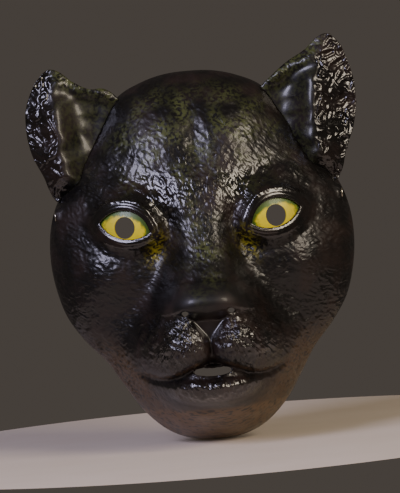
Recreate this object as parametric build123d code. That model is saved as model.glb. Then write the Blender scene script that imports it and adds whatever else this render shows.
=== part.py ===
from build123d import *
import math
import os

# Big-cat face mask: a thin moulded face with two cupped ears, two eye pieces with pupil holes, and an
# elastic head band that swings on two tubular rivets.
#
# Millimetres. +Z is up, +X is the onlooker's right, and the face looks along -Y. The rim that lies
# round the wearer's face is in the plane Y = 0. The origin is in that plane, level with the pupils.
# A "depth" is how far a point stands in front of the rim, which is -Y.

# --- Face ---
SHEET = 1.0             # wall of the moulded face and ears
HALF_WIDTH = 94.5       # rim, from the middle to the cheek
CROWN = 94.5            # rim, from the pupils up to the crown
CHIN = 134.5            # rim, from the pupils down to the chin
DOME_DEPTH = 55.0       # forehead and cheeks, in front of the rim
DOME_Z = -18.0          # middle of the dome
NOSE_RISE = 37.0        # snout, in front of the dome
GLUE_LINE = 0.2         # gap at the glued root of an ear

# --- Eyes ---
EYE_X = 45.7            # pupil, from the middle
PUPIL_RADIUS = 6.6
PUPIL_DEPTH = 48.0      # eye piece at the pupil, in front of the rim
EYE_RADIUS = 42.0       # curve of the eye piece
EYE_GAP = 0.5           # bead of glue between the eye piece and the lids
EYE_TURN = 20.0         # degrees that the eye looks outwards
EYE_WALL = 1.0
EYE_HALF_LENGTH = 15.6  # almond opening between the lids, along its tilt
UPPER_LID = 10.2        # top of the opening, above the line through its corners
LOWER_LID = 6.8         # and its bottom, below that line
EYE_TILT = 15.0         # degrees that the outer corner is higher
EYE_MARGIN = 2.5        # eye piece, beyond the opening

# --- Nose and mouth ---
NOSTRIL_X = 13.6
NOSTRIL_Z = -53.5
NOSTRIL_RADIUS = 1.8
MOUTH_Z = -88.4
MOUTH_HALF_WIDTH = 11.5
MOUTH_HALF_HEIGHT = 2.8

# --- Ears ---
EAR_NOTCH = (43.0, 79.0)         # where an ear leaves the crown
EAR_FOOT = (87.0, 20.0)          # where it meets the cheek
EAR_SPREAD = 102.2               # outermost edge, from the middle
EAR_TIP = {"left": (85.5, 101.5), "right": (87.3, 109.3)}
EAR_EDGE_DEPTH = 5.0             # edge of the ear, in front of the rim
EAR_FOLD_RISE = 15.0             # forward fold, in front of the edge

# --- Head band and its rivets ---
RIVET_Z = 11.0          # above the pupils
RIVET_DEPTH = 7.0       # in front of the rim
SHANK_RADIUS = 1.5
SHANK_BORE = 0.9
HEAD_RADIUS = 3.0
HEAD_HEIGHT = 1.0
WASHER_RADIUS = 3.0
WASHER_HEIGHT = 0.5
FLARE_RADIUS = 2.3
FLARE_HEIGHT = 0.5
BOSS_RADIUS = 4.0
BOSS_WALL = 5.8         # flat that squares the wall to the rivet
SEAT_GAP = 0.02         # shank in the face and in the washer, in radius
RUNNING_GAP = 0.08      # shank in the band's eyelet, in radius
SIDE_GAP = 0.3          # band to boss, and band to washer
BAND_WIDTH = 6.0
BAND_WALL = 1.0
BAND_DROP = 108.0       # lowest point of the slack band, under the rivets
BAND_FOLD = 12.0        # doubled end, below the rivet
BAND_END = 3.2          # and above it

# Half outline of the rim from crown to chin: shares of the half width, and of the crown or the chin.
OUTLINE = [(0.0, 1.0), (0.16, 0.99), (0.31, 0.95), (0.48, 0.86), (0.585, 0.7), (0.69, 0.53),
           (0.80, 0.37), (0.92, 0.215), (0.98, 0.05), (1.0, -0.11), (0.975, -0.26), (0.92, -0.385),
           (0.815, -0.5), (0.68, -0.61), (0.575, -0.73), (0.46, -0.85), (0.31, -0.945),
           (0.15, -0.99), (0.0, -1.0)]

# Snout from brow to chin: height, share of the nose's rise, half width.
SNOUT = [(34.0, 0.0, 26.0), (16.0, 0.1, 20.0), (0.0, 0.22, 16.0), (-20.0, 0.46, 18.0),
         (-36.0, 0.78, 24.0), (-47.0, 1.0, 29.0), (-60.0, 0.94, 36.0), (-75.0, 0.92, 43.0),
         (-90.0, 0.84, 43.0), (-104.0, 0.86, 36.0), (-118.0, 0.80, 33.0), (-140.0, 0.5, 30.0)]


def blend(stations, at):
    """Smooth value between stations (position, value) sorted by position."""
    last = len(stations) - 1
    if at <= stations[0][0]:
        return stations[0][1]
    if at >= stations[last][0]:
        return stations[last][1]
    i = 0
    while stations[i + 1][0] < at:
        i += 1

    def slope(k):
        a = stations[max(k - 1, 0)]
        b = stations[min(k + 1, last)]
        return (b[1] - a[1]) / (b[0] - a[0])

    (x0, y0), (x1, y1) = stations[i], stations[i + 1]
    w = x1 - x0
    t = (at - x0) / w
    rise = y1 - y0
    m0 = slope(i) * w
    m1 = slope(i + 1) * w
    return y0 + t * (m0 + t * (3 * rise - 2 * m0 - m1 + t * (m0 + m1 - 2 * rise)))


def rim_stations():
    """Rim as (angle from the crown, radius) about the dome's middle."""
    stations = []
    for across, up in OUTLINE:
        x = across * HALF_WIDTH
        z = up * (CROWN if up > 0 else CHIN) - DOME_Z
        stations.append((math.atan2(x, z), math.hypot(x, z)))
    first = [(-a, r) for a, r in stations[1:3]][::-1]
    last = [(2 * math.pi - a, r) for a, r in stations[-3:-1]][::-1]
    return first + stations + last


RIM = rim_stations()
SNOUT_RISE = sorted((z, rise) for z, rise, half in SNOUT)
SNOUT_HALF = sorted((z, half) for z, rise, half in SNOUT)


def rim_radius(x, z):
    """Radius of the rim about the dome's middle, in the direction of a point."""
    return blend(RIM, abs(math.atan2(x, z - DOME_Z)))


def bump(x, z, cx, cz, rx, rz, power=2):
    """Swelling that is 1 in its middle and fades beyond its half sizes."""
    return math.exp(-abs((x - cx) / rx) ** power - abs((z - cz) / rz) ** power)


def eye_frame(x, z):
    """Place along and across an eye's tilted line, for a point on its side."""
    c = math.cos(math.radians(EYE_TILT))
    s = math.sin(math.radians(EYE_TILT))
    u = (x - EYE_X) * c + z * s
    return u, z * c - (x - EYE_X) * s


def eye_centre():
    """Middle of the eye piece's sphere, as (x, depth)."""
    turn = math.radians(EYE_TURN)
    return EYE_X - EYE_RADIUS * math.sin(turn), PUPIL_DEPTH - EYE_RADIUS * math.cos(turn)


def lid_depth(x, z):
    """Skin that follows the eye piece, one wall and one bead of glue in front of it."""
    cx, cd = eye_centre()
    reach = EYE_RADIUS + EYE_GAP + SHEET
    out = math.hypot(x - cx, z)
    bend = 0.76 * reach
    if out > bend:
        return cd + math.sqrt(reach ** 2 - bend ** 2) - 1.17 * (out - bend)
    return cd + math.sqrt(reach ** 2 - out ** 2)


def smooth(t):
    t = min(max(t, 0.0), 1.0)
    return t * t * (3 - 2 * t)


def mouth_line(x):
    """Height of the line between the lips."""
    return MOUTH_Z + 4.4 - 9.0 * math.sin(math.pi * min(x, 44.0) / 60.0) ** 2


def features(x, z):
    """What stands out of the dome, for x >= 0."""
    snout = NOSE_RISE * blend(SNOUT_RISE, z) * math.exp(-(x / blend(SNOUT_HALF, z)) ** 4)
    forehead = 4.0 * bump(x, z, 21, 56, 17, 24) + 3.0 * bump(x, z, 0, 20, 22, 16)
    brow = 6.5 * bump(x, z - 0.28 * (x - 44), 44, 19, 24, 8)
    cheek = 5.0 * bump(x, z, 64, -26, 20, 16) - 3.0 * bump(x, z, 52, -52, 16, 14)
    tear = -4.0 * bump(x, z, 27, -12, 8, 9)
    nose = 4.5 * bump(x, z, 0, -46, 27, 8, 4) + 3.0 * bump(x, z, 0, -58, 9, 11, 4)
    crease = -3.0 * bump(x, z, 17, -56, 9, 2.8)
    pads = 9.0 * bump(x, z, 22.5, -71, 18, 15) - 2.0 * bump(x, z, 0, -76, 3.5, 9)
    lips = -5.0 * math.exp(-((z - mouth_line(x)) / 3.2) ** 2) * smooth((50 - x) / 12)
    lower = 5.0 * bump(x, z, 0, -99, 25, 5) - 4.0 * bump(x, z, 0, -108.5, 24, 4)
    return snout + forehead + brow + cheek + tear + nose + crease + pads + lips + lower


def depth(x, z):
    """Outer skin of the face, in front of the rim; below 0 outside the rim."""
    x = abs(x)
    share = math.hypot(x, z - DOME_Z) / rim_radius(x, z)
    soft = 0.04
    if share >= 1.0:
        fall = DOME_DEPTH * (share - 1.0) * 1.25 / math.sqrt(soft)
        return -16.0 * math.tanh(fall / 16.0)
    dome = DOME_DEPTH * (math.sqrt(1 - share ** 2.5 + soft) - math.sqrt(soft))
    skin = dome + features(x, z) * (1 - share ** 7)
    u, v = eye_frame(x, z)
    near = math.hypot(u / (EYE_HALF_LENGTH + 6.5), (v - 1.5) / 14.5)
    socket = 1 - smooth((near - 1.0) / 0.6)
    lid = 1.5 * math.exp(-((near - 1.2) / 0.22) ** 2)
    return skin + socket * (lid_depth(x, z) - skin) + lid


def skin_point(x, z, inward):
    """Point of the outer skin moved square to the skin by an amount."""
    h = 0.05
    d = depth(x, z)
    gx = (depth(x + h, z) - depth(x - h, z)) / (2 * h)
    gz = (depth(x, z + h) - depth(x, z - h)) / (2 * h)
    n = math.sqrt(gx * gx + gz * gz + 1)
    return Vector(x + inward * gx / n, -(d - inward / n), z + inward * gz / n)


def nodes():
    """Places of a patch's sample points along one side, close together at its ends."""
    return [(1 - math.cos(math.pi * i / DEGREE)) / 2 for i in range(DEGREE + 1)]


def bernstein_inverse():
    """Matrix that turns samples at the nodes into control points of a Bezier curve."""
    size = DEGREE + 1
    rows = []
    for k, t in enumerate(nodes()):
        row = [math.comb(DEGREE, i) * t ** i * (1 - t) ** (DEGREE - i) for i in range(size)]
        rows.append(row + [1.0 if i == k else 0.0 for i in range(size)])
    for i in range(size):
        best = max(range(i, size), key=lambda r: abs(rows[r][i]))
        rows[i], rows[best] = rows[best], rows[i]
        rows[i] = [value / rows[i][i] for value in rows[i]]
        for r in range(size):
            if r != i:
                factor = rows[r][i]
                rows[r] = [a - factor * b for a, b in zip(rows[r], rows[i])]
    return [row[size:] for row in rows]


DEGREE = 8
TO_CONTROL = bernstein_inverse()


def weighed(weights, points):
    """Sum of points, each times its weight."""
    total = Vector(0, 0, 0)
    for weight, point in zip(weights, points):
        total = total + point * weight
    return total


def patch(point, x0, x1, z0, z1):
    """Control points of one Bezier patch through point(x, z) over a rectangle."""
    samples = [[point(x0 + (x1 - x0) * s, z0 + (z1 - z0) * t) for t in nodes()] for s in nodes()]
    half = [[weighed(row, line) for row in TO_CONTROL] for line in samples]
    columns = [[weighed(row, column) for row in TO_CONTROL] for column in zip(*half)]
    return [list(line) for line in zip(*columns)]


def spaced(low, high, count):
    return [low + (high - low) * i / count for i in range(count + 1)]


def sheet(front, back, xs, zs):
    """Closed solid between two skins, front(x, z) and back(x, z), over a grid of patches."""
    faces = []
    for i in range(len(xs) - 1):
        for j in range(len(zs) - 1):
            near = patch(front, xs[i], xs[i + 1], zs[j], zs[j + 1])
            far = patch(back, xs[i], xs[i + 1], zs[j], zs[j + 1])
            faces.append(Face.make_bezier_surface(near))
            faces.append(Face.make_bezier_surface(far))
            if i == 0:
                faces.append(Face.make_bezier_surface([near[0], far[0]]))
            if i == len(xs) - 2:
                faces.append(Face.make_bezier_surface([near[-1], far[-1]]))
            if j == 0:
                faces.append(Face.make_bezier_surface([[a[0] for a in near], [a[0] for a in far]]))
            if j == len(zs) - 2:
                faces.append(Face.make_bezier_surface([[a[-1] for a in near], [a[-1] for a in far]]))
    return Solid(Shell(faces))


def face_sheet(front, back, reach=6.0):
    """Sheet over the whole face, between two depths from its skin, passing the rim by the reach."""
    xs = spaced(-HALF_WIDTH - reach, HALF_WIDTH + reach, 8)
    zs = spaced(-CHIN - reach, CROWN + reach, 10)
    return sheet(lambda x, z: skin_point(x, z, front), lambda x, z: skin_point(x, z, back), xs, zs)


def behind_rim():
    return Box(400, 100, 400, align=(Align.CENTER, Align.MIN, Align.CENTER))


def along_y(x, z, radius, length=240.0):
    """Cylinder along Y, through the face."""
    return Pos(x, 0, z) * Rot(90, 0, 0) * Cylinder(radius, length)


def along_x(x0, x1, radius):
    """Cylinder along X between two places, on the rivets' axis."""
    return Pos((x0 + x1) / 2, -RIVET_DEPTH, RIVET_Z) * Rot(0, 90, 0) * Cylinder(radius, abs(x1 - x0))


def almond(side, margin):
    """Prism along Y of an eye's opening, grown by a margin."""
    tilt = math.radians(EYE_TILT)
    half = EYE_HALF_LENGTH + margin * 1.3
    places = [(-half, 0.0), (2.0, UPPER_LID + margin), (half, 0.0), (-1.0, -LOWER_LID - margin)]
    points = []
    for u, v in places:
        x = EYE_X + u * math.cos(tilt) - v * math.sin(tilt)
        z = u * math.sin(tilt) + v * math.cos(tilt)
        points.append(Vector(side * x, 0, z))
    upper = Edge.make_three_point_arc(points[0], points[1], points[2])
    lower = Edge.make_three_point_arc(points[2], points[3], points[0])
    return extrude(Face(Wire([upper, lower])), amount=120, dir=(0, -1, 0))


def wall_at_rivet():
    """Distance from the middle to the outer skin at the rivets."""
    low = 0.0
    high = HALF_WIDTH
    for step in range(40):
        middle = (low + high) / 2
        if depth(middle, RIVET_Z) > RIVET_DEPTH:
            low = middle
        else:
            high = middle
    return low


# Stack on each rivet, from outside to inside, as distances from the middle.
BOSS_OUT = wall_at_rivet()
BOSS_IN = BOSS_OUT - BOSS_WALL
BAND_OUT = BOSS_IN - SIDE_GAP
BAND_IN = BAND_OUT - 2 * BAND_WALL
WASHER_OUT = BAND_IN - SIDE_GAP
WASHER_IN = WASHER_OUT - WASHER_HEIGHT
FLARE_END = WASHER_IN - FLARE_HEIGHT


def face_shell():
    """Moulded face: thin shell with eye openings, nostrils, mouth slit and rivet bosses."""
    shell = face_sheet(0.0, SHEET) - behind_rim()
    for side in (-1, 1):
        shell = shell - almond(side, 0.0)
        shell = shell - along_y(side * NOSTRIL_X, NOSTRIL_Z, NOSTRIL_RADIUS)
    slit = extrude(Ellipse(MOUTH_HALF_WIDTH, MOUTH_HALF_HEIGHT), amount=120)
    shell = shell - Pos(0, 0, MOUTH_Z) * Rot(90, 0, 0) * slit
    for side in (-1, 1):
        seat = along_x(side * BOSS_OUT, side * (BOSS_OUT + 8), BOSS_RADIUS)
        boss = along_x(side * BOSS_OUT, side * BOSS_IN, BOSS_RADIUS)
        hole = along_x(side * (BOSS_OUT + 1), side * (BOSS_IN - 1), SHANK_RADIUS + SEAT_GAP)
        shell = shell - seat + boss - hole
    return shell


def eye(side):
    """Domed eye piece behind the lids, with its pupil hole square to its turn."""
    cx, cd = eye_centre()
    middle = Pos(side * cx, -cd, 0)
    piece = middle * Sphere(EYE_RADIUS) - middle * Sphere(EYE_RADIUS - EYE_WALL)
    pupil = middle * Rot(0, 0, side * EYE_TURN) * Rot(90, 0, 0) * Cylinder(PUPIL_RADIUS, 120)
    piece = (piece & almond(side, EYE_MARGIN)) - pupil
    return max(piece.solids(), key=lambda body: body.volume)


def ear_outline(side):
    """Edge of an ear, from its foot round the tip to the crown, as plan points."""
    tip_x, tip_z = EAR_TIP[side]
    foot_x, foot_z = EAR_FOOT
    notch_x, notch_z = EAR_NOTCH
    height = tip_z - foot_z
    outside = [(foot_x + 6.5, foot_z + 0.19 * height), (EAR_SPREAD - 2.6, foot_z + 0.36 * height),
               (EAR_SPREAD, foot_z + 0.55 * height), (EAR_SPREAD - 2.6, foot_z + 0.78 * height),
               (tip_x + 6.5, tip_z - 5.0)]
    inside = [(tip_x - 6.0, tip_z - 1.6), (tip_x - 14.0, tip_z - 8.5), (tip_x - 24.0, tip_z - 14.0),
              (notch_x + 9.0, notch_z + 8.0)]
    return [EAR_FOOT] + outside + [(tip_x, tip_z)] + inside + [EAR_NOTCH]


def ear_depth(side, x, z):
    """Skin of an ear: a forward fold along the outer edge, a hollow, and a low inner rim."""
    tip_x, tip_z = EAR_TIP[side]
    up = (z - EAR_FOOT[1]) / (tip_z - EAR_FOOT[1])
    lean = 5.0 if side == "left" else -3.0
    fold_x = 76.0 + lean * math.sin(math.pi * min(max(up, 0.0), 1.0)) + 9.0 * max(up, 0.0) ** 3
    fade = smooth(up / 0.2) * (1 - 0.75 * smooth((up - 0.55) / 0.45))
    width = 15.0 if x > fold_x else 8.0
    fold = EAR_FOLD_RISE * fade * math.exp(-((x - fold_x) / width) ** 2)
    run = (x - EAR_NOTCH[0]) / (tip_x - EAR_NOTCH[0])
    edge_z = EAR_NOTCH[1] + 7.0 + run * (tip_z - EAR_NOTCH[1] - 7.0)
    inner_rim = 5.0 * math.exp(-((z - edge_z + 5.0) / 5.0) ** 2) * smooth(run / 0.3)
    return EAR_EDGE_DEPTH + fold + inner_rim * (1 - smooth((up - 0.7) / 0.3))


def ear_point(side, x, z, inward):
    """Point of an ear's skin moved square to the skin by an amount."""
    h = 0.1
    d = ear_depth(side, x, z)
    gx = (ear_depth(side, x + h, z) - ear_depth(side, x - h, z)) / (2 * h)
    gz = (ear_depth(side, x, z + h) - ear_depth(side, x, z - h)) / (2 * h)
    n = math.sqrt(gx * gx + gz * gz + 1)
    hand = -1 if side == "left" else 1
    return Vector(hand * (x + inward * gx / n), -(d - inward / n), z + inward * gz / n)


def ear(side, plug):
    """Cupped ear sheet that ends on the side of the face, one glue line away."""
    xs = spaced(30.0, EAR_SPREAD + 8.0, 4)
    zs = spaced(4.0, EAR_TIP[side][1] + 8.0, 5)
    cupped = sheet(lambda x, z: ear_point(side, x, z, 0.0), lambda x, z: ear_point(side, x, z, SHEET), xs, zs)
    hand = -1 if side == "left" else 1
    edge = [Vector(hand * x, 0, z) for x, z in ear_outline(side)]
    closing = [edge[-1], Vector(hand * 34.0, 0, 60.0), Vector(hand * 60.0, 0, 12.0), edge[0]]
    lines = [Edge.make_line(a, b) for a, b in zip(closing, closing[1:])]
    prism = extrude(Face(Wire([Edge.make_spline(edge)] + lines)), amount=120, dir=(0, -1, 0))
    cupped = (cupped & prism) - plug
    return max(cupped.solids(), key=lambda body: abs(body.center().X))


def band_curve():
    """Scale of the slack band's hanging curve, from its span and drop below its folds."""
    span = (BAND_OUT + BAND_IN) / 2
    drop = BAND_DROP - BAND_FOLD
    low = 5.0
    high = 500.0
    for step in range(60):
        middle = (low + high) / 2
        if middle * (math.cosh(span / middle) - 1) > drop:
            low = middle
        else:
            high = middle
    return span, low


def head_strap():
    """Flat elastic band that hangs slack in the hollow, with a doubled, eyeleted end on each rivet."""
    span, curve = band_curve()
    lowest = RIVET_Z - BAND_DROP
    sides = {-1: [], 1: []}
    for i in range(-12, 13):
        x = span * math.sin(math.pi / 2 * i / 12)
        z = lowest + curve * (math.cosh(x / curve) - 1)
        lean = math.atan(math.sinh(x / curve))
        for way in sides:
            shift = way * BAND_WALL / 2
            sides[way].append(Vector(x - shift * math.sin(lean), 0, z + shift * math.cos(lean)))
    over = Edge.make_spline(sides[1])
    under = Edge.make_spline(sides[-1])
    ends = [Edge.make_line(sides[1][i], sides[-1][i]) for i in (0, -1)]
    band = extrude(Face(Wire([over, under] + ends)), amount=BAND_WIDTH, dir=(0, -1, 0))
    band = Pos(0, BAND_WIDTH / 2 - RIVET_DEPTH, 0) * band
    for side in (-1, 1):
        middle = (BAND_END - BAND_FOLD - BAND_WALL) / 2
        fold = Box(BAND_OUT - BAND_IN, BAND_WIDTH, BAND_END + BAND_FOLD + BAND_WALL)
        band = band + Pos(side * span, -RIVET_DEPTH, RIVET_Z + middle) * fold
        band = band - along_x(side * (BAND_IN - 2), side * (BAND_OUT + 2), SHANK_RADIUS + RUNNING_GAP)
    return band


def strap_rivet(side):
    """Tubular rivet: head outside the boss, shank through boss and band, end flared over a washer."""
    head = along_x(side * BOSS_OUT, side * (BOSS_OUT + HEAD_HEIGHT), HEAD_RADIUS)
    outer = head.edges().group_by(Axis.X)[-1 if side > 0 else 0]
    head = fillet(outer, HEAD_HEIGHT * 0.7)
    shank = along_x(side * (BOSS_OUT + 0.1), side * FLARE_END, SHANK_RADIUS)
    flare = along_x(side * WASHER_IN, side * FLARE_END, FLARE_RADIUS)
    bore = along_x(side * BOSS_OUT, side * (FLARE_END - 1), SHANK_BORE)
    return head + shank + flare - bore


def strap_washer(side):
    """Washer that holds the band on its rivet."""
    disc = along_x(side * WASHER_OUT, side * WASHER_IN, WASHER_RADIUS)
    return disc - along_x(side * (WASHER_OUT + 1), side * (WASHER_IN - 1), SHANK_RADIUS + SEAT_GAP)


def save(name, shape):
    os.makedirs("parts", exist_ok=True)
    export_step(shape, os.path.join("parts", name + ".step"))
    print(name, len(shape.solids()), "solid", round(shape.volume, 1), "mm3")


def main():
    save("face_shell", face_shell())
    plug = face_sheet(-GLUE_LINE, 30.0)
    for name, side in (("left", -1), ("right", 1)):
        save("ear_" + name, ear(name, plug))
        save("eye_" + name, eye(side))
        save("strap_rivet_" + name, strap_rivet(side))
        save("strap_washer_" + name, strap_washer(side))
    save("head_strap", head_strap())


main()
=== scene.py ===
# Looks for a big-cat folk mask: lacquered moulded face and ears, enamelled eyes, elastic band.
# Lengths are in mm and are made metres by MM where a mesh is finished.
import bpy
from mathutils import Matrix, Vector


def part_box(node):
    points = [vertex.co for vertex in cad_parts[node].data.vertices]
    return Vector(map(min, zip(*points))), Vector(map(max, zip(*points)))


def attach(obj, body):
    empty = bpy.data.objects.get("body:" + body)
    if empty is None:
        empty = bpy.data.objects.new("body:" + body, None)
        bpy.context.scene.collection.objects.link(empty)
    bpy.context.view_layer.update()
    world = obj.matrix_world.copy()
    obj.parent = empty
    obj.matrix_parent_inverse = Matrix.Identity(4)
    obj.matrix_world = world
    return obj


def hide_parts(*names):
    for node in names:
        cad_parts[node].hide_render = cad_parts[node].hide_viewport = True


bl_info = {
    "name": "Big-cat folk mask",
    "version": (1, 0, 0),
    "blender": (4, 5, 0),
    "location": "View3D > Sidebar > Mask",
    "description": "Builds the looks of a lacquered big-cat mask round its packed frame",
    "category": "Object",
}

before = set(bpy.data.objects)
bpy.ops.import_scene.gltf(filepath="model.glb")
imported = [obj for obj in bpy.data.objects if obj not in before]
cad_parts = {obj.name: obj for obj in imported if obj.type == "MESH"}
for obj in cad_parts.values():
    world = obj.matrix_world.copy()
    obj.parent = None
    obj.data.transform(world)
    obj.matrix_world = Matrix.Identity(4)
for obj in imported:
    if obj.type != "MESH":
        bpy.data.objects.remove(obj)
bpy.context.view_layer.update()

import math

import bmesh
import bpy
from mathutils import Matrix, Vector, noise

MM = 0.001

# Rim outline from crown to chin: shares of the half width, and of the crown or the chin height.
OUTLINE = [(0.0, 1.0), (0.16, 0.99), (0.31, 0.95), (0.48, 0.86), (0.585, 0.7), (0.69, 0.53),
           (0.80, 0.37), (0.92, 0.215), (0.98, 0.05), (1.0, -0.11), (0.975, -0.26), (0.92, -0.385),
           (0.815, -0.5), (0.68, -0.61), (0.575, -0.73), (0.46, -0.85), (0.31, -0.945),
           (0.15, -0.99), (0.0, -1.0)]

# Snout from brow to chin: height in mm, share of the nose's rise, half width in mm.
SNOUT = [(34.0, 0.0, 26.0), (16.0, 0.1, 20.0), (0.0, 0.22, 16.0), (-20.0, 0.46, 18.0),
         (-36.0, 0.78, 24.0), (-47.0, 1.0, 29.0), (-60.0, 0.94, 36.0), (-75.0, 0.92, 43.0),
         (-90.0, 0.84, 43.0), (-104.0, 0.86, 36.0), (-118.0, 0.80, 33.0), (-140.0, 0.5, 30.0)]

FACE_LOW, FACE_HIGH = (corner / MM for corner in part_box("face_shell"))
HALF_WIDTH = FACE_HIGH.x
CROWN = FACE_HIGH.z
CHIN = -FACE_LOW.z
DOME_Z = -18.0

# Places on the face's plan, across and up from its middle, and sizes there.
NOSE_Z = -46.0
PAD = (22.8, -73.5)
NOSTRIL = (13.6, -53.5)
NOSTRIL_RADIUS = 1.8
MOUTH_Z = -88.4
MOUTH_HALF = (11.5, 2.8)

# Rivet bosses, a flat on each side of the face with a ring behind it.
BOSS_RADIUS = 4.0
BOSS_BORE = 1.62
BOSS_SUNK = 0.4
BOSS_SIDE = 60.0
BOSS_REACH = 12.0
FLAT_RADIUS = 4.3
FLAT_FADE = 2.5
SKIN_HOLE = 1.7
FAR_OUTSIDE = 9.0
RIVET_HEAD = 1.0
BAND_GAP = 0.3

# Ears, drawn on the right: notch by the forehead, foot at the cheek, and the widest place.
EAR_NOTCH = (43.0, 79.0)
EAR_FOOT = (87.0, 20.0)
EAR_SPREAD = 102.2
EAR_TIPS = {"left": 85.5, "right": 87.3}
EAR_MIDDLE = (72.0, 60.0)
EAR_GRID_MIDDLE = (70.0, 60.0)
EAR_GRID = (72.0, 108.0)

# Triangles that the face may have, and the distance in mm within which its points are one.
MOST_TRIANGLES = 194000
MERGE = 1e-4


class MaskFace(bpy.types.PropertyGroup):
    """Moulded face"""
    sheet: bpy.props.FloatProperty(name="Sheet", description="Wall of the moulded sheet, in mm",
                                   default=1.0, min=0.4, max=3.0)
    dome: bpy.props.FloatProperty(name="Dome", description="Forehead in front of the rim, in mm",
                                  default=55.0, min=30.0, max=80.0)
    nose_rise: bpy.props.FloatProperty(name="Snout", min=10.0, max=60.0, default=37.0,
                                       description="Snout in front of the dome, in mm")
    fur: bpy.props.FloatProperty(name="Fur", description="Height of the modelled fur, in mm",
                                 default=0.85, min=0.0, max=2.0)
    columns: bpy.props.IntProperty(name="Columns", description="Modelled grid across the face",
                                   default=222, min=40, max=400)
    rows: bpy.props.IntProperty(name="Rows", description="Modelled grid up the face",
                                default=246, min=40, max=400)


class MaskEyes(bpy.types.PropertyGroup):
    """Eyes and lids"""
    across: bpy.props.FloatProperty(name="Pupil", description="Pupil from the middle, in mm",
                                    default=45.7)
    depth: bpy.props.FloatProperty(name="Depth", description="Eye in front of the rim, in mm",
                                   default=48.0)
    radius: bpy.props.FloatProperty(name="Radius", description="Curve of the eye piece, in mm",
                                    default=42.0)
    turn: bpy.props.FloatProperty(name="Turn", description="How far the eye looks outwards",
                                  default=math.radians(20.0), subtype="ANGLE")
    tilt: bpy.props.FloatProperty(name="Tilt", description="Rise of the outer corner",
                                  default=math.radians(15.0), subtype="ANGLE")
    gap: bpy.props.FloatProperty(name="Gap", description="Bead between eye and lids, in mm",
                                 default=0.5)
    half_length: bpy.props.FloatProperty(name="Half length",
                                         description="Opening along its tilt, in mm", default=15.6)
    upper: bpy.props.FloatProperty(name="Upper lid", description="Top of the opening, in mm",
                                   default=10.2)
    lower: bpy.props.FloatProperty(name="Lower lid", description="Bottom of the opening, in mm",
                                   default=6.8)


class MaskColours(bpy.types.PropertyGroup):
    """Colours"""
    lacquer: bpy.props.StringProperty(name="Lacquer", description="Black lacquer, sRGB",
                                      default="#0E0C0B")
    brown: bpy.props.StringProperty(name="Brown", description="Thin lacquer over brown, sRGB",
                                    default="#231713")
    olive: bpy.props.StringProperty(name="Olive", description="Dry-brushed olive, sRGB",
                                    default="#454A28")
    # Painted reflection: tan standing in for the pale floor seen in the lacquer on the down-turned
    # jaw, the chin and the edge of the upper lip
    painted_floor_reflection: bpy.props.StringProperty(name="Bronze", description="Brushed chin and lip line, sRGB",
                                     default="#5C452B")
    gold: bpy.props.StringProperty(name="Gold", description="Strokes at the eyes, sRGB",
                                   default="#8F851C")
    yellow: bpy.props.StringProperty(name="Yellow", description="Eye enamel, sRGB",
                                     default="#E8D614")
    green: bpy.props.StringProperty(name="Green", description="Edge of the eye enamel, sRGB",
                                    default="#4E6A1C")


def settings():
    """The face's sizes, the eyes' sizes and the colours."""
    scene = bpy.context.scene
    return scene.mask_face, scene.mask_eyes, scene.mask_colours


# ---------------------------------------------------------------- shape of the face

def smooth(t):
    """Soft step from 0 to 1 as t goes from 0 to 1."""
    t = min(max(t, 0.0), 1.0)
    return t * t * (3 - 2 * t)


def bump(x, z, cx, cz, rx, rz, power=2):
    """Swelling that is 1 in its middle and fades beyond its half sizes."""
    return math.exp(-abs((x - cx) / rx) ** power - abs((z - cz) / rz) ** power)


def pillow(x, z, cx, cz, rx, rz, power=2.2, edge=0.6):
    """Swelling with a clear edge: 1 in its middle, 0 from its half sizes on."""
    t = abs((x - cx) / rx) ** power + abs((z - cz) / rz) ** power
    return max(0.0, 1 - t) ** edge


def blend(stations, at):
    """Smooth value between stations (position, value) sorted by position."""
    last = len(stations) - 1
    if at <= stations[0][0]:
        return stations[0][1]
    if at >= stations[last][0]:
        return stations[last][1]
    i = 0
    while stations[i + 1][0] < at:
        i += 1

    def slope(k):
        a = stations[max(k - 1, 0)]
        b = stations[min(k + 1, last)]
        return (b[1] - a[1]) / (b[0] - a[0])

    (x0, y0), (x1, y1) = stations[i], stations[i + 1]
    w = x1 - x0
    t = (at - x0) / w
    rise = y1 - y0
    m0 = slope(i) * w
    m1 = slope(i + 1) * w
    return y0 + t * (m0 + t * (3 * rise - 2 * m0 - m1 + t * (m0 + m1 - 2 * rise)))


def rim_stations():
    """Rim as (angle from the crown, radius) about the dome's middle."""
    stations = []
    for across, up in OUTLINE:
        x = across * HALF_WIDTH
        z = up * (CROWN if up > 0 else CHIN) - DOME_Z
        stations.append((math.atan2(x, z), math.hypot(x, z)))
    first = [(-a, r) for a, r in stations[1:3]][::-1]
    last = [(2 * math.pi - a, r) for a, r in stations[-3:-1]][::-1]
    return first + stations + last


RIM = rim_stations()
SNOUT_RISE = sorted((z, rise) for z, rise, half in SNOUT)
SNOUT_HALF = sorted((z, half) for z, rise, half in SNOUT)


def rim_radius(x, z):
    """Distance of the rim from the dome's middle, in the direction of a place."""
    return blend(RIM, abs(math.atan2(x, z - DOME_Z)))


def lens(x, z, eyes):
    """Distance outside an eye opening's two arcs, in mm; below 0 inside. Also its tilted frame."""
    c = math.cos(eyes.tilt)
    s = math.sin(eyes.tilt)
    u = (x - eyes.across) * c + z * s
    v = z * c - (x - eyes.across) * s
    far = -1e9
    for lean, height in ((2.0, eyes.upper), (-1.0, -eyes.lower)):
        middle = (lean ** 2 + height ** 2 - eyes.half_length ** 2) / (2 * height)
        reach = math.hypot(eyes.half_length, middle)
        far = max(far, math.hypot(u, v - middle) - reach)
    return far, u, v


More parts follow.
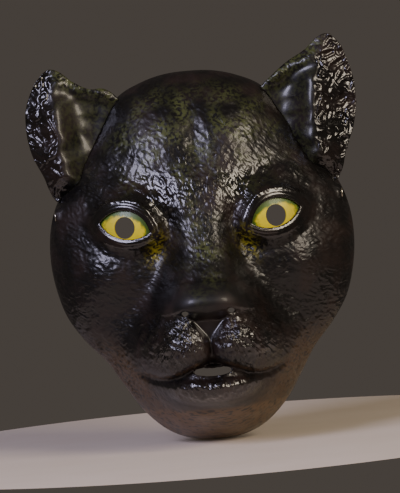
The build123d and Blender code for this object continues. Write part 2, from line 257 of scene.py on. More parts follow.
def lid_depth(x, z, face, eyes):
    """Skin that follows the eye piece, one wall and one bead of glue in front of it."""
    cx = eyes.across - eyes.radius * math.sin(eyes.turn)
    cd = eyes.depth - eyes.radius * math.cos(eyes.turn)
    reach = eyes.radius + eyes.gap + face.sheet
    out = math.hypot(x - cx, z)
    bend = 0.76 * reach
    if out > bend:
        return cd + math.sqrt(reach ** 2 - bend ** 2) - 1.17 * (out - bend)
    return cd + math.sqrt(reach ** 2 - out ** 2)


def mouth_line(x):
    """Height of the line between the lips."""
    return -84.0 - 9.0 * math.sin(math.pi * min(x, 44.0) / 60.0) ** 2


def features(x, z, face):
    """What stands out of the dome, for x >= 0."""
    # Snout, brows and cheeks.
    snout = face.nose_rise * blend(SNOUT_RISE, z) * math.exp(-(x / blend(SNOUT_HALF, z)) ** 4)
    forehead = 3.5 * bump(x, z, 21, 56, 19, 24) + 3.0 * bump(x, z, 0, 20, 22, 16)
    forehead -= 0.9 * bump(x, z, 0, 48, 7, 16)
    brow = 6.5 * bump(x, z - 0.28 * (x - 44), 44, 19, 24, 8)
    cheek = 5.0 * bump(x, z, 64, -26, 20, 16) - 3.0 * bump(x, z, 52, -52, 16, 14)
    tear = -4.0 * bump(x, z, 27, -12, 8, 9)
    # Nose leather: a bar across, a narrowing wedge under it, and the hollow on either side.
    bar = 6.5 * pillow(x, z + 0.004 * x * x, 0, NOSE_Z, 30.0, 12.0, 2.2, 0.8)
    septum = smooth((13.5 * (z + 71) / 18 - x) / 2.5 + 0.5)
    septum *= smooth((z + 72) / 3) * smooth((-50 - z) / 4)
    under = smooth((-51.5 - z - 0.01 * (x - 13) ** 2) / 4)
    under *= smooth((48 - x) / 10) * smooth((z + 112) / 8)
    bar += under * (-1.6 * (1 - smooth((-55 - z) / 16)) * (1 - 0.8 * septum) - 1.5 * septum)
    # Whisker pads, parted in the middle, then the lips and the chin under them.
    pads = 10.0 * pillow(x, z, *PAD, 21.6, 19.0, 2.3, 0.8) * (1 - septum)
    pads += 4.5 * bump(x, z, 0, -82, 40, 14)
    philtrum = -3.5 * bump(x, z, 0, -78, 2.0, 8)
    lips = -7.0 * math.exp(-((z - mouth_line(x)) / 2.4) ** 2) * smooth((50 - x) / 12)
    lower = 6.0 * pillow(x, z - 0.003 * x * x, 0, -101.0, 28.5, 8.5, 2.3, 0.8)
    lower += 9.0 * bump(x, z, 0, -105, 36, 13, 3) - 3.0 * bump(x, z, 0, -112.0, 28, 3.0)
    return snout + forehead + brow + cheek + tear + bar + pads + philtrum + lips + lower


def bare_depth(x, z, face, eyes):
    """Smooth outer skin in front of the rim, without fur."""
    x = abs(x)
    share = math.hypot(x, z - DOME_Z) / rim_radius(x, z)
    soft = 0.04
    if share >= 1.0:
        return 0.0
    dome = face.dome * (math.sqrt(1 - share ** 2.5 + soft) - math.sqrt(soft))
    skin = dome + features(x, z, face) * (1 - share ** 7)
    near, u, v = lens(x, z, eyes)
    socket = 1 - smooth((near - 4.0) / 10.0)
    skin += socket * (lid_depth(x, z, face, eyes) - skin)
    over = smooth((v + 2) / 6) * smooth((u + 14) / 8)
    lid = 0.8 * math.exp(-((near - 2.4) / 1.2) ** 2)
    lid += 1.6 * over * math.exp(-((near - 6.0) / 1.5) ** 2)
    return skin + lid + 0.7 * (1 - over) * math.exp(-((near - 5.2) / 1.0) ** 2)


def fur_amount(x, z, eyes):
    """How deep the fur is modelled: none on nose, lids and chin, most on brows and muzzle."""
    x = abs(x)
    amount = 0.75 + 0.6 * bump(x, z, 26, 16, 24, 16) + 1.5 * pillow(x, z, 22.6, -70, 21, 19)
    amount += 0.7 * pillow(x, z, 0, -99, 28, 8) - 0.2 * bump(x, z, 0, 65, 50, 26)
    nose = pillow(x, z, 0, NOSE_Z, 30, 9.5, 3, 0.3)
    septum = smooth((13.5 * (z + 72) / 18 - x) / 3 + 0.7)
    nose += septum * smooth((-48 - z) / 4) * smooth((z + 76) / 5)
    amount *= 1 - min(1.0, nose)
    near = lens(x, z, eyes)[0]
    amount *= smooth((near - 3.5) / 4.0)
    amount *= 1 - 0.75 * smooth((-102 - z) / 6)
    return amount


def ridged(point):
    """Wandering ridges, 1 on their tops and 0 between."""
    return 1 - min(1.0, abs(noise.noise(point)) * 2.6)


def stroke_place(x, z):
    """Place in the fur's own frame: round the nose, away from it, and across the face."""
    out = math.hypot(x, z + 45)
    return math.atan2(abs(x), z + 45) * 24, out / 7.0, x / 30


def fur(x, z, eyes):
    """Height of the modelled fur: short strokes away from the nose, broken into crinkles."""
    amount = fur_amount(x, z, eyes)
    if amount <= 0.0:
        return 0.0
    around, out, side = stroke_place(x, z)
    wander = noise.noise(Vector((x / 7, z / 7, 3.0)))
    strokes = ridged(Vector((around * 0.8 + wander, out * 0.8 + wander, side)))
    crinkle = ridged(Vector((x / 3.1 + wander, z / 2.7 - wander, 7.0)))
    coarse = noise.noise(Vector((x / 9, z / 8, 11.0)))
    return amount * (0.6 * strokes + 0.6 * crinkle + 0.6 * coarse - 0.6)


# ---------------------------------------------------------------- mesh helpers

def plan_place(u, v):
    """Square (-1..1, -1..1) laid over the face's outline, closer together at the rim."""
    x = u * math.sqrt(1 - v * v / 2)
    z = v * math.sqrt(1 - u * u / 2)
    share = math.hypot(x, z)
    if share < 1e-9:
        return 0.0, DOME_Z
    bow = math.radians(64)
    spread = math.sin(min(share, 1.0) * bow) / math.sin(bow)
    around = rim_radius(x, z + DOME_Z)
    inner = 0.95 * min(HALF_WIDTH, CROWN)
    radius = (inner + (around - inner) * spread ** 2) * spread / share
    return x * radius, z * radius + DOME_Z


def cut_away(bm, outside):
    """Cut a triangulated mesh along outside(place) = 0 and drop what is below 0."""
    for turn in range(4):
        value = {v: outside(v.co) for v in bm.verts}
        moves = {}
        for edge in bm.edges:
            a, b = edge.verts
            fa, fb = value[a], value[b]
            if abs(fa) < 1e-6 or abs(fb) < 1e-6 or (fa > 0) == (fb > 0):
                continue
            t = fa / (fa - fb)
            if t > 0.5:
                a, b, t = b, a, 1 - t
            if a not in moves or t < moves[a][0]:
                moves[a] = (t, a.co.lerp(b.co, t))
        if not moves:
            break
        for vert, (t, place) in moves.items():
            vert.co = place
    value = {v: outside(v.co) for v in bm.verts}
    inside = [f for f in bm.faces if sum(value[v] for v in f.verts) < 0]
    bmesh.ops.delete(bm, geom=inside, context="FACES")


def finish_mesh(bm, name):
    """Object from a bmesh, with doubles merged, normals outwards and smooth shading."""
    bmesh.ops.remove_doubles(bm, verts=bm.verts, dist=1e-7)
    mesh = bpy.data.meshes.new(name)
    bm.to_mesh(mesh)
    bm.free()
    piece = bpy.data.objects.new(name, mesh)
    bpy.context.scene.collection.objects.link(piece)
    mesh.shade_smooth()
    return piece


def apply_modifiers(piece):
    """Bake a piece's modifiers into its mesh."""
    bpy.context.view_layer.update()
    graph = bpy.context.evaluated_depsgraph_get()
    mesh = bpy.data.meshes.new_from_object(piece.evaluated_get(graph))
    piece.modifiers.clear()
    piece.data = mesh
    mesh.name = piece.name


def add_strokes(mesh):
    """Store the fur's own frame on every vertex."""
    flow = [part for v in mesh.vertices for part in stroke_place(v.co.x / MM, v.co.z / MM)]
    mesh.attributes.new("stroke", "FLOAT_VECTOR", "POINT").data.foreach_set("vector", flow)


def add_value(mesh, name, values):
    """Store one number per vertex under a name that a material reads."""
    attribute = mesh.attributes.new(name, "FLOAT", "POINT")
    attribute.data.foreach_set("value", values)


# ---------------------------------------------------------------- pieces

def rivet_places():
    """Rivets' axis, and how far the boss's two faces are from the middle, in mm."""
    head_low, head_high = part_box("strap_rivet_right")
    band_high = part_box("head_strap")[1]
    axis_y = (head_low.y + head_high.y) / 2 / MM
    axis_z = (head_low.z + head_high.z) / 2 / MM
    boss_out = head_high.x / MM - RIVET_HEAD
    boss_in = band_high.x / MM + BAND_GAP
    return axis_y, axis_z, boss_out, boss_in


def open_face(eyes):
    """Distance outside every opening of the face, on its plan."""
    def outside(place):
        x = abs(place.x)
        z = place.z
        near = lens(x, z, eyes)[0]
        along = x - NOSTRIL[0]
        nostril = math.hypot(along / 1.25, z - NOSTRIL[1] + 0.1 * along) - NOSTRIL_RADIUS
        wide, tall = MOUTH_HALF
        mouth = (math.hypot(x / wide, (z - MOUTH_Z) / tall) - 1) * tall
        return min(near, nostril, mouth)
    return outside


class MASK_OT_face(bpy.types.Operator):
    """Moulded face with openings, fur and rivet bosses"""
    bl_idname = "mask.face"
    bl_label = "Face"

    def execute(self, context):
        face, eyes, colours = settings()
        coarser = 1
        bm = bmesh.new()
        bmesh.ops.create_grid(bm, x_segments=face.columns // coarser,
                              y_segments=face.rows // coarser, size=1.0)
        bmesh.ops.triangulate(bm, faces=bm.faces, quad_method="ALTERNATE")
        for v in bm.verts:
            x, z = plan_place(v.co.x, v.co.y)
            v.co = Vector((x, 0, z))
        cut_away(bm, open_face(eyes))
        bmesh.ops.dissolve_degenerate(bm, dist=0.02, edges=bm.edges)
        for v in bm.verts:
            v.co.y = -bare_depth(v.co.x, v.co.z, face, eyes)
        axis_y, axis_z, boss_out, boss_in = rivet_places()
        for v in bm.verts:
            off = math.hypot(v.co.y - axis_y, v.co.z - axis_z)
            if abs(v.co.x) > boss_out - BOSS_REACH and off < FLAT_RADIUS + FLAT_FADE:
                keep = smooth((off - FLAT_RADIUS) / FLAT_FADE)
                v.co.x = math.copysign(boss_out + (abs(v.co.x) - boss_out) * keep, v.co.x)
        bm.normal_update()
        if sum(v.normal.y for v in bm.verts) > 0:
            bmesh.ops.reverse_faces(bm, faces=bm.faces)
            bm.normal_update()
        lifts = []
        for v in bm.verts:
            edge = min(1.0, max(0.0, -v.co.y) / 6.0)
            lifts.append(v.normal * fur(v.co.x, v.co.z, eyes) * face.fur * edge)
        for v, lift in zip(bm.verts, lifts):
            v.co += lift

        def past_rivet(place):
            if abs(place.x) <= BOSS_SIDE:
                return FAR_OUTSIDE
            return math.hypot(place.y - axis_y, place.z - axis_z) - SKIN_HOLE

        cut_away(bm, past_rivet)
        bmesh.ops.remove_doubles(bm, verts=bm.verts, dist=MERGE)
        bmesh.ops.scale(bm, vec=(MM, MM, MM), verts=bm.verts)
        piece = finish_mesh(bm, "mask_face")
        self.wall(piece, face)
        self.bosses(piece, axis_y, axis_z, boss_out, boss_in)
        self.paint(piece, eyes)
        piece.data.materials.clear()
        piece.data.materials.append(lacquer("Black lacquer over moulded sheet", colours))
        piece.data.materials.append(raw_inside("Unlacquered inside of the sheet"))
        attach(piece, "mask")
        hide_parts("face_shell")
        return {"FINISHED"}

    def wall(self, piece, face):
        """Give the skin its thickness inwards, with a lighter inner wall."""
        piece.data.materials.append(None)
        piece.data.materials.append(None)
        inner = piece.vertex_groups.new(name="inner")
        thick = piece.modifiers.new("Sheet", "SOLIDIFY")
        thick.thickness = face.sheet * MM
        thick.offset = -1.0
        thick.use_even_offset = True
        thick.thickness_clamp = 1.0
        thick.material_offset = 1
        thick.material_offset_rim = 1
        thick.shell_vertex_group = inner.name
        apply_modifiers(piece)
        triangles = sum(len(p.vertices) - 2 for p in piece.data.polygons)
        thin = piece.modifiers.new("Lighter inside", "DECIMATE")
        thin.vertex_group = inner.name
        thin.ratio = min(1.0, MOST_TRIANGLES / triangles)
        apply_modifiers(piece)
        for v in piece.data.vertices:
            v.co.y = min(v.co.y, 0.0)

    def bosses(self, piece, axis_y, axis_z, boss_out, boss_in):
        """Ring round each rivet inside the wall."""
        bm = bmesh.new()
        bm.from_mesh(piece.data)
        for side in (-1, 1):
            made = bmesh.ops.create_grid(bm, x_segments=1, y_segments=1, size=0.5)["verts"]
            for v in made:
                along = boss_out - BOSS_SUNK if v.co.x > 0 else boss_in
                out = BOSS_RADIUS if v.co.y > 0 else BOSS_BORE
                v.co = Vector((side * along, axis_y + out, axis_z)) * MM
            faces = [f for f in bm.faces if f.verts[0] in set(made)]
            edges = list(faces[0].edges)
            bmesh.ops.delete(bm, geom=faces, context="FACES_ONLY")
            bmesh.ops.spin(bm, geom=edges, axis=(1, 0, 0),
                           cent=Vector((0, axis_y, axis_z)) * MM, dvec=(0, 0, 0),
                           angle=2 * math.pi, steps=32, use_merge=True)
            ring = {f for v in made for f in v.link_faces}
            grow = True
            while grow:
                more = {g for f in ring for e in f.edges for g in e.link_faces} - ring
                grow = bool(more)
                ring |= more
            bmesh.ops.recalc_face_normals(bm, faces=list(ring))
            for f in ring:
                f.material_index = 1
        bm.to_mesh(piece.data)
        bm.free()

    def paint(self, piece, eyes):
        """Store where each colour and finish goes, from the place on the face."""
        painted = {name: [] for name in ("olive", "gold", "painted_floor_reflection", "nose", "gloss", "fur")}
        for v in piece.data.vertices:
            x = v.co.x / MM
            z = v.co.z / MM
            a = abs(x)
            near = lens(a, z, eyes)[0]
            front = smooth((-v.co.y / MM - 8) / 10)
            patch = noise.noise(Vector((x / 12, z / 12, 21.0))) * 1.4 + 0.45
            zone = bump(a, z, 18, 54, 32, 28) + 1.1 * bump(x, z, 0, -14, 10, 24)
            painted["olive"].append(front * min(1.0, max(0.0, zone * patch * 1.3)))
            painted["gold"].append(bump(a + 0.3 * z, z, 23, -14, 5, 8) * smooth(near / 2))
            # Painted reflection of the pale floor: a tan line along the upper lip's edge, a band
            # where the jaw turns down to the rim, and the chin
            line = math.exp(-((z - mouth_line(a) - 2.2) / 0.9) ** 2)
            line *= smooth((46 - a) / 8) * smooth((a - 6) / 4)
            share = math.hypot(x, z - DOME_Z) / rim_radius(a, z)
            jaw = smooth((share - 0.80) / 0.09) * smooth((-58 - z) / 30)
            chin = smooth((-110.5 - z) / 3)
            painted["painted_floor_reflection"].append(min(1.0, 0.8 * chin + 0.5 * jaw + 0.7 * line))
            nose = pillow(x, z, 0, NOSE_Z, 31, 10, 3, 0.4)
            painted["nose"].append(smooth((nose - 0.2) / 0.4))
            wet = bump(a, z, 28, 18, 24, 13) + pillow(a, z, PAD[0], -66, 22, 18)
            wet += pillow(x, z, 0, -99, 29, 8) + smooth((9 - near) / 5)
            painted["gloss"].append(min(1.0, wet))
            painted["fur"].append(fur_amount(x, z, eyes))
        add_strokes(piece.data)
        for name, values in painted.items():
            add_value(piece.data, name, values)


def ear_tip(name):
    """Tip of an ear on its plan, in mm."""
    low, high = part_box("ear_" + name)
    return EAR_TIPS[name], high.z / MM


def ear_polar(x, z):
    """Angle and radius of a place about the ear's middle."""
    across = x - EAR_MIDDLE[0]
    up = z - EAR_MIDDLE[1]
    return math.atan2(up, across), math.hypot(across, up)


def ear_stations(tip_x, tip_z):
    """Edge of an ear as (angle, radius) about its middle."""
    foot_x, foot_z = EAR_FOOT
    height = tip_z - foot_z
    places = [EAR_FOOT, (foot_x + 6.5, foot_z + 0.19 * height),
              (EAR_SPREAD - 2.6, foot_z + 0.36 * height), (EAR_SPREAD, foot_z + 0.55 * height),
              (EAR_SPREAD - 2.6, foot_z + 0.78 * height), (tip_x + 6.5, tip_z - 5.0),
              (tip_x, tip_z), (tip_x - 6.0, tip_z - 1.6), (tip_x - 14.0, tip_z - 8.5),
              (tip_x - 24.0, tip_z - 14.0), (EAR_NOTCH[0] + 9.0, EAR_NOTCH[1] + 8.0), EAR_NOTCH,
              (38.0, 66.0), (44.0, 40.0), (60.0, 18.0), (74.0, 12.0)]
    polar = sorted(ear_polar(x, z) for x, z in places)
    before = [(a - 2 * math.pi, r) for a, r in polar[-2:]]
    after = [(a + 2 * math.pi, r) for a, r in polar[:2]]
    return before + polar + after


def ear_depth(name, x, z, tip_x, tip_z):
    """Skin of an ear: a forward fold, a hollow inboard of it and a raised inner rim, in mm."""
    up = (z - EAR_FOOT[1]) / (tip_z - EAR_FOOT[1])
    lean = 5.0 if name == "left" else -3.0
    fold_x = 76.0 + lean * math.sin(math.pi * min(max(up, 0.0), 1.0)) + 9.0 * max(up, 0.0) ** 3
    fade = smooth(up / 0.2) * (1 - 0.75 * smooth((up - 0.55) / 0.45))
    width = 15.0 if x > fold_x else 10.0
    fold_x += 3.0 * noise.noise(Vector((x / 20, z / 9, 5.0)))
    fold = 15.0 * fade * math.exp(-((x - fold_x) / width) ** 2)
    run = (x - EAR_NOTCH[0]) / (tip_x - EAR_NOTCH[0])
    edge_z = EAR_NOTCH[1] + 7.0 + run * (tip_z - EAR_NOTCH[1] - 7.0)
    rim = 5.0 * math.exp(-((z - edge_z + 5.0) / 5.0) ** 2) * smooth(run / 0.3)
    return 5.0 + fold + rim * (1 - smooth((up - 0.7) / 0.3)), x - fold_x, z - edge_z


class MASK_OT_ears(bpy.types.Operator):
    """Cupped ears with hair on the folded flap"""
    bl_idname = "mask.ears"
    bl_label = "Ears"

    def execute(self, context):
        colours = settings()[2]
        finish = lacquer("Black lacquer on the ears", colours)
        inside = raw_inside("Unlacquered back of the ears")
        for name, hand in (("left", -1), ("right", 1)):
            piece = self.ear(name, hand)
            piece.data.materials.append(finish)
            piece.data.materials.append(inside)
            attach(piece, "mask")
            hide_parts("ear_" + name)
        return {"FINISHED"}

    def ear(self, name, hand):
        """One ear, drawn on the right and turned over for the left hand."""
        face, eyes, colours = settings()
        tip_x, tip_z = ear_tip(name)
        stations = ear_stations(tip_x, tip_z)
        count = 120
        bm = bmesh.new()
        bmesh.ops.create_grid(bm, x_segments=count, y_segments=int(count * 1.5), size=0.5)
        bmesh.ops.triangulate(bm, faces=bm.faces, quad_method="ALTERNATE")
        for v in bm.verts:
            x = EAR_GRID_MIDDLE[0] + v.co.x * EAR_GRID[0]
            z = EAR_GRID_MIDDLE[1] + v.co.y * EAR_GRID[1]
            v.co = Vector((x, 0, z))

        def outside(place):
            angle, radius = ear_polar(place.x, place.z)
            edge = blend(stations, angle) - radius
            skin = ear_depth(name, place.x, place.z, tip_x, tip_z)[0]
            root = skin - bare_depth(place.x, place.z, face, eyes) - 0.7
            return min(edge, root)

        cut_away(bm, outside)
        bmesh.ops.dissolve_degenerate(bm, dist=0.02, edges=bm.edges)
        olive = bm.verts.layers.float.new("olive")
        furs = bm.verts.layers.float.new("fur")
        wet = bm.verts.layers.float.new("gloss")
        for v in bm.verts:
            x = v.co.x
            z = v.co.z
            deep, off, below = ear_depth(name, x, z, tip_x, tip_z)
            hairy = smooth((off + 1) / 5)
            wander = noise.noise(Vector((x / 9, z / 9, 41.0 + hand)))
            hair = ridged(Vector((off / 5.5 + wander + z / 14, z / 6.5 - off / 9, 43.0)))
            crinkle = ridged(Vector((x / 2.6, z / 2.6, 47.0)))
            v.co.y = -deep
            v.co.y -= hairy * (1.4 * hair + 0.25 * crinkle + wander - 0.8)
            v.co.y -= (1 - hairy) * (0.8 * wander + 0.35 * crinkle * smooth((below + 12) / 6))
            v[olive] = (0.35 + 0.65 * smooth((below + 12) / 8)) * smooth((2 - off) / 6)
            v[furs] = hairy
            v[wet] = 0.05 + 0.75 * hairy
            v.co.x *= hand
        bmesh.ops.remove_doubles(bm, verts=bm.verts, dist=MERGE)
        bm.normal_update()
        if sum(v.normal.y for v in bm.verts) > 0:
            bmesh.ops.reverse_faces(bm, faces=bm.faces)
        bmesh.ops.scale(bm, vec=(MM, MM, MM), verts=bm.verts)
        piece = finish_mesh(bm, "mask_ear_" + name)
        add_strokes(piece.data)
        thick = piece.modifiers.new("Sheet", "SOLIDIFY")
        thick.thickness = face.sheet * MM
        thick.offset = -1.0
        thick.material_offset = 1
        apply_modifiers(piece)
        return piece


class MASK_OT_eyes(bpy.types.Operator):
    """Enamelled eye pieces"""
    bl_idname = "mask.eyes"
    bl_label = "Eyes"

    def execute(self, context):
        colours = settings()[2]
        enamel = yellow_enamel("Brushed yellow enamel", colours)
        for name in ("left", "right"):
            dress(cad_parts["eye_" + name], enamel)
        return {"FINISHED"}


class MASK_OT_rivets(bpy.types.Operator):
    """Rivets and washers"""
    bl_idname = "mask.rivets"
    bl_label = "Rivets"

    def execute(self, context):
        brass = metal("Nickel-plated brass", "#CFC8B6", 0.3)
        steel = metal("Zinc-plated steel", "#B9BABC", 0.38)
        for name in ("left", "right"):
            dress(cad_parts["strap_rivet_" + name], brass)
            dress(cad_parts["strap_washer_" + name], steel)
        return {"FINISHED"}


class MASK_OT_band(bpy.types.Operator):
    """Woven elastic head band"""
    bl_idname = "mask.band"
    bl_label = "Head band"

    def execute(self, context):
        dress(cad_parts["head_strap"], elastic("Woven black elastic"))
        return {"FINISHED"}


def dress(node, material):
    """Give a CAD node one material."""
    node.data.materials.clear()
    node.data.materials.append(material)


# ---------------------------------------------------------------- materials

def colour(text):
    """sRGB hex to the linear colour that a socket takes."""
    parts = [int(text[i:i + 2], 16) / 255 for i in (1, 3, 5)]
    return [p / 12.92 if p <= 0.04045 else ((p + 0.055) / 1.055) ** 2.4 for p in parts] + [1.0]


def add(tree, kind, values=None, links=None):
    """New shader node with its settings and what feeds it."""
    made = tree.nodes.new(kind)
    for name, value in (values or {}).items():
        if isinstance(name, str) and hasattr(made, name):
            setattr(made, name, value)
        else:
            made.inputs[name].default_value = value
    for name, source in (links or {}).items():
        tree.links.new(source, made.inputs[name])
    return made


def new_material(name):
    """Material with an empty tree, its Principled shader, and Object coordinates."""
    material = bpy.data.materials.new(name)
    material.use_nodes = True
    tree = material.node_tree
    tree.nodes.clear()
    shader = add(tree, "ShaderNodeBsdfPrincipled")
    add(tree, "ShaderNodeOutputMaterial", links={"Surface": shader.outputs["BSDF"]})
    place = add(tree, "ShaderNodeTexCoord").outputs["Object"]
    return material, tree, shader, place


def lacquer(name, colours):
    """Black lacquer, brushed on and glossy, over moulded sheet."""
    # Wet highlights broken by ridges 3 mm apart, brown where it is thin, and drier on the nose.
    # Noise scales are 1000 over the spacing in mm: 3.3 worms, 18 patches, 2.4 flecks, 1.9 dashes.
    material, tree, shader, place = new_material(name)
    painted = {what: add(tree, "ShaderNodeAttribute", {"attribute_name": what}).outputs["Fac"]
               for what in ("olive", "gold", "painted_floor_reflection", "nose", "gloss", "fur")}
    flow = add(tree, "ShaderNodeAttribute", {"attribute_name": "stroke"}).outputs["Vector"]
    hairs = add(tree, "ShaderNodeTexNoise",
                {"noise_type": "RIDGED_MULTIFRACTAL", "Scale": 1.6, "Detail": 3.0,
                 "Distortion": 0.5}, {"Vector": flow}).outputs[0]
    worms = add(tree, "ShaderNodeTexNoise",
                {"noise_type": "RIDGED_MULTIFRACTAL", "Scale": 300.0, "Detail": 2.0,
                 "Distortion": 0.4}, {"Vector": place}).outputs[0]
    ridges = add(tree, "ShaderNodeMath", {"operation": "ADD"}, {0: hairs, 1: worms}).outputs[0]
    patches = add(tree, "ShaderNodeTexNoise", {"Scale": 55.0, "Detail": 4.0},
                  {"Vector": place}).outputs[0]
    flecks = add(tree, "ShaderNodeTexNoise", {"Scale": 420.0, "Detail": 3.0, "Distortion": 0.6},
                 {"Vector": place}).outputs[0]
    drawn_out = add(tree, "ShaderNodeMapping", {"Scale": (0.35, 1.0, 1.0)}, {"Vector": place})
    dashes = add(tree, "ShaderNodeTexNoise", {"Scale": 520.0, "Detail": 1.0},
                 {"Vector": drawn_out.outputs[0]}).outputs[0]
    thin = add(tree, "ShaderNodeMapRange", {"From Min": 0.45, "From Max": 0.7},
               {"Value": patches}).outputs[0]
    base = add(tree, "ShaderNodeMix",
               {"data_type": "RGBA", 6: colour(colours.lacquer), 7: colour(colours.brown)},
               {0: thin}).outputs[2]
    # Olive and gold are brushed paint; the floor-reflection tan, broken into dashes, is a painted
    # reflection of the pale floor
    for what, broken, low, high in (("olive", flecks, 0.42, 0.58), ("painted_floor_reflection", dashes, 0.38, 0.46),
                                    ("gold", flecks, 0.48, 0.56)):
        strokes = add(tree, "ShaderNodeMapRange", {"From Min": low, "From Max": high},
                      {"Value": broken}).outputs[0]
        amount = add(tree, "ShaderNodeMath", {"operation": "MULTIPLY"},
                     {0: painted[what], 1: strokes}).outputs[0]
        base = add(tree, "ShaderNodeMix",
                   {"data_type": "RGBA", 7: colour(getattr(colours, what))},
                   {0: amount, 6: base}).outputs[2]
    tree.links.new(base, shader.inputs["Base Color"])
    uneven = add(tree, "ShaderNodeMapRange",
                 {"From Min": 0.35, "From Max": 0.7, "To Min": 0.22, "To Max": 0.4},
                 {"Value": patches}).outputs[0]
    satin = add(tree, "ShaderNodeMath", {"operation": "MULTIPLY_ADD", 1: 0.12},
                {0: painted["nose"], 2: uneven}).outputs[0]
    duller = add(tree, "ShaderNodeMath", {1: 0.12}, {0: satin}).outputs[0]
    rough = add(tree, "ShaderNodeMath", {"operation": "MULTIPLY_ADD", 1: -0.18},
                {0: painted["gloss"], 2: duller}).outputs[0]
    tree.links.new(rough, shader.inputs["Roughness"])
    shader.inputs["IOR"].default_value = 1.5
    coat = add(tree, "ShaderNodeMapRange", {"To Min": 0.2, "To Max": 0.9},
               {"Value": painted["gloss"]})
    tree.links.new(coat.outputs[0], shader.inputs["Coat Weight"])
    shader.inputs["Coat Roughness"].default_value = 0.15
    depth = add(tree, "ShaderNodeMath", {"operation": "MULTIPLY_ADD", 1: 0.6, 2: 0.05},
                {0: painted["fur"]}).outputs[0]
    crinkle = add(tree, "ShaderNodeBump", {"Distance": 0.0005},
                  {"Height": ridges, "Strength": depth}).outputs[0]
    tree.links.new(crinkle, shader.inputs["Normal"])
    tree.links.new(crinkle, shader.inputs["Coat Normal"])
    return material


def raw_inside(name):
    """Bare back of the moulded sheet."""
    # Dark and matt, with a soft broad sheen, mottled every 11 mm and grained every 1.4 mm.
    material, tree, shader, place = new_material(name)
    mottle = add(tree, "ShaderNodeTexNoise", {"Scale": 90.0, "Detail": 5.0},
                 {"Vector": place}).outputs[0]
    base = add(tree, "ShaderNodeMix",
               {"data_type": "RGBA", 6: colour("#1C1613"), 7: colour("#33281F")}, {0: mottle})
    tree.links.new(base.outputs[2], shader.inputs["Base Color"])
    shader.inputs["Roughness"].default_value = 0.75
    grain = add(tree, "ShaderNodeTexNoise", {"Scale": 700.0, "Detail": 2.0},
                {"Vector": place}).outputs[0]
    bumps = add(tree, "ShaderNodeBump", {"Distance": 0.0002, "Strength": 0.4},
                {"Height": grain})
    tree.links.new(bumps.outputs[0], shader.inputs["Normal"])
    return material


def yellow_enamel(name, colours):
    """Yellow enamel, brushed on."""
    # Clean and half glossy, with brush marks 2.6 mm apart and a green fringe that is thicker
    # at the top and the ends. The fringe follows an ellipse laid over each eye's opening.
    material, tree, shader, place = new_material(name)
    eyes = settings()[1]
    split = add(tree, "ShaderNodeSeparateXYZ", links={0: place})
    across = add(tree, "ShaderNodeMath", {"operation": "ABSOLUTE"}, {0: split.outputs[0]})
    flat = add(tree, "ShaderNodeCombineXYZ",
               links={0: across.outputs[0], 2: split.outputs[2]}).outputs[0]
    turned = add(tree, "ShaderNodeMapping",
                 {"vector_type": "TEXTURE", "Location": (eyes.across * MM, 0, -0.0008),
                  "Rotation": (0, -eyes.tilt, 0), "Scale": (0.0165, 1, 0.0098)},
                 {"Vector": flat}).outputs[0]
    far = add(tree, "ShaderNodeVectorMath", {"operation": "LENGTH"},
              {0: turned}).outputs["Value"]
    brush = add(tree, "ShaderNodeTexNoise", {"Scale": 380.0, "Detail": 3.0},
                {"Vector": place}).outputs[0]
    uneven = add(tree, "ShaderNodeMath", {"operation": "MULTIPLY_ADD", 1: 0.35},
                 {0: brush, 2: far}).outputs[0]
    fringe = add(tree, "ShaderNodeMapRange", {"From Min": 0.86, "From Max": 1.02},
                 {"Value": uneven}).outputs[0]
    tone = add(tree, "ShaderNodeMix",
               {"data_type": "RGBA", 6: colour(colours.yellow), 7: colour("#D2BC10")},
               {0: brush}).outputs[2]
    base = add(tree, "ShaderNodeMix", {"data_type": "RGBA", 7: colour(colours.green)},
               {0: fringe, 6: tone}).outputs[2]
    tree.links.new(base, shader.inputs["Base Color"])
    shader.inputs["Roughness"].default_value = 0.42
    shader.inputs["Coat Weight"].default_value = 0.12
    shader.inputs["Coat Roughness"].default_value = 0.1
    strokes = add(tree, "ShaderNodeBump", {"Distance": 0.0001, "Strength": 0.3},
                  {"Height": brush})
    tree.links.new(strokes.outputs[0], shader.inputs["Normal"])
    return material


def metal(name, tint, roughness):
    """Plated metal, worn by handling."""
    # Tight highlights with faint rub marks about 1 mm apart.
    material, tree, shader, place = new_material(name)
    rub = add(tree, "ShaderNodeTexNoise", {"Scale": 900.0, "Detail": 4.0},
              {"Vector": place}).outputs[0]
    spread = add(tree, "ShaderNodeMapRange",
                 {"To Min": roughness - 0.1, "To Max": roughness + 0.12},
                 {"Value": rub}).outputs[0]
    shader.inputs["Base Color"].default_value = colour(tint)
    shader.inputs["Metallic"].default_value = 1.0
    tree.links.new(spread, shader.inputs["Roughness"])
    return material


def elastic(name):
    """Woven black elastic."""
    # Dull, with ribs across the band, drawn about as fine as the picture can show.
    material, tree, shader, place = new_material(name)
    ribs = add(tree, "ShaderNodeTexWave",
               {"bands_direction": "Y", "Scale": 300.0, "Distortion": 0.6},
               {"Vector": place}).outputs["Fac"]
    base = add(tree, "ShaderNodeMix",
               {"data_type": "RGBA", 6: colour("#0B0B0C"), 7: colour("#232326")}, {0: ribs})
    tree.links.new(base.outputs[2], shader.inputs["Base Color"])
    shader.inputs["Roughness"].default_value = 0.85
    bumps = add(tree, "ShaderNodeBump", {"Distance": 0.0003, "Strength": 0.7}, {"Height": ribs})
    tree.links.new(bumps.outputs[0], shader.inputs["Normal"])
    return material


def floor_paper(name):
    """Seamless studio paper."""
    # Flat and pale, with hardly visible clouding every 40 mm.
    material, tree, shader, place = new_material(name)
    fibres = add(tree, "ShaderNodeTexNoise", {"Scale": 25.0, "Detail": 6.0},
                 {"Vector": place}).outputs[0]
    base = add(tree, "ShaderNodeMix",
               {"data_type": "RGBA", 6: colour("#DCCDBB"), 7: colour("#E6D9CA")}, {0: fibres})
    tree.links.new(base.outputs[2], shader.inputs["Base Color"])
    shader.inputs["Roughness"].default_value = 0.9
    return material


# ---------------------------------------------------------------- stage

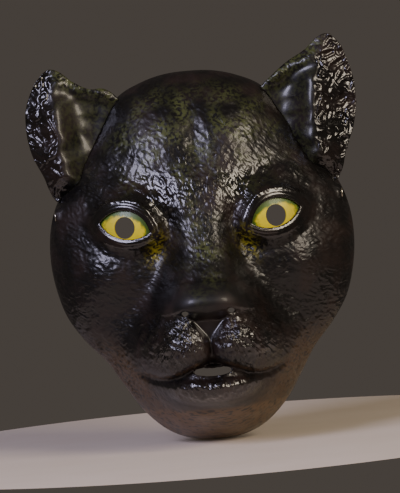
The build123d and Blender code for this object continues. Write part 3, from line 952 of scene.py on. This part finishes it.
# Floor, lamps' aim and camera, in metres, mm of lens and radians.
FLOOR_RADIUS = 0.24
FLOOR_DEPTH = 0.03
FLOOR_CLEAR = 0.0006
LAMP_AIM = (0, -0.04, -0.02)
CAMERA_PLACE = (-0.00145, -1.3, -0.01485)
CAMERA_LENS = 153.0
CAMERA_ROLL = math.radians(-4.9)


class MASK_OT_stage(bpy.types.Operator):
    """Floor, soft lights and camera"""
    bl_idname = "mask.stage"
    bl_label = "Stage"

    def execute(self, context):
        bm = bmesh.new()
        bmesh.ops.create_circle(bm, cap_ends=True, segments=96, radius=FLOOR_RADIUS)
        bmesh.ops.translate(bm, vec=(0, FLOOR_DEPTH, -CHIN * MM - FLOOR_CLEAR), verts=bm.verts)
        bmesh.ops.recalc_face_normals(bm, faces=bm.faces)
        floor = finish_mesh(bm, "studio_floor")
        floor.data.materials.append(floor_paper("Pale studio paper"))
        self.light("key_left", (-0.95, -1.1, 0.72), 22.0, "#E2DEFF", 0.56)
        self.light("fill_right", (1.05, -1.05, 0.6), 18.0, "#FFF0DA", 0.6)
        world = bpy.data.worlds.new("Studio")
        world.use_nodes = True
        backdrop = world.node_tree.nodes["Background"]
        backdrop.inputs["Color"].default_value = colour("#4A443F")
        backdrop.inputs["Strength"].default_value = 1.0
        context.scene.world = world
        self.camera()
        return {"FINISHED"}

    def light(self, name, place, power, tint, size):
        """Soft box aimed at the face."""
        lamp = bpy.data.lights.new(name, "AREA")
        lamp.energy = power
        lamp.color = colour(tint)[:3]
        lamp.shape = "RECTANGLE"
        lamp.size = size
        lamp.size_y = size * 1.4
        holder = bpy.data.objects.new(name, lamp)
        holder.location = place
        aim = Vector(LAMP_AIM) - Vector(place)
        holder.rotation_euler = aim.to_track_quat("-Z", "Y").to_euler()
        bpy.context.scene.collection.objects.link(holder)

    def camera(self):
        """Level camera in front of the face, rolled a little."""
        lens_data = bpy.data.cameras.new("camera")
        lens_data.lens = CAMERA_LENS
        lens_data.sensor_width = 36.0
        lens_data.clip_start = 0.05
        camera = bpy.data.objects.new("camera", lens_data)
        level = Matrix.Rotation(math.radians(90), 4, "X")
        roll = Matrix.Rotation(CAMERA_ROLL, 4, "Z")
        camera.matrix_world = Matrix.Translation(CAMERA_PLACE) @ level @ roll
        bpy.context.scene.collection.objects.link(camera)
        bpy.context.scene.camera = camera


class MASK_PT_panel(bpy.types.Panel):
    """Mask pieces"""
    bl_label = "Big-cat mask"
    bl_idname = "MASK_PT_panel"
    bl_space_type = "VIEW_3D"
    bl_region_type = "UI"
    bl_category = "Mask"

    def draw(self, context):
        column = self.layout.column()
        for group in settings():
            for name in group.bl_rna.properties.keys():
                if name not in {"rna_type", "name"}:
                    column.prop(group, name)
        for name in STEPS:
            column.operator("mask." + name)


STEPS = ("face", "ears", "eyes", "rivets", "band", "stage")
CLASSES = (MaskFace, MaskEyes, MaskColours, MASK_OT_face, MASK_OT_ears, MASK_OT_eyes,
           MASK_OT_rivets, MASK_OT_band, MASK_OT_stage, MASK_PT_panel)


def register():
    for cls in CLASSES:
        bpy.utils.register_class(cls)
    bpy.types.Scene.mask_face = bpy.props.PointerProperty(type=MaskFace)
    bpy.types.Scene.mask_eyes = bpy.props.PointerProperty(type=MaskEyes)
    bpy.types.Scene.mask_colours = bpy.props.PointerProperty(type=MaskColours)


def unregister():
    for name in ("mask_face", "mask_eyes", "mask_colours"):
        delattr(bpy.types.Scene, name)
    for cls in reversed(CLASSES):
        bpy.utils.unregister_class(cls)


def main():
    register()
    for name in STEPS:
        getattr(bpy.ops.mask, name)()
    bpy.context.view_layer.update()


if __name__ == "__main__":
    main()
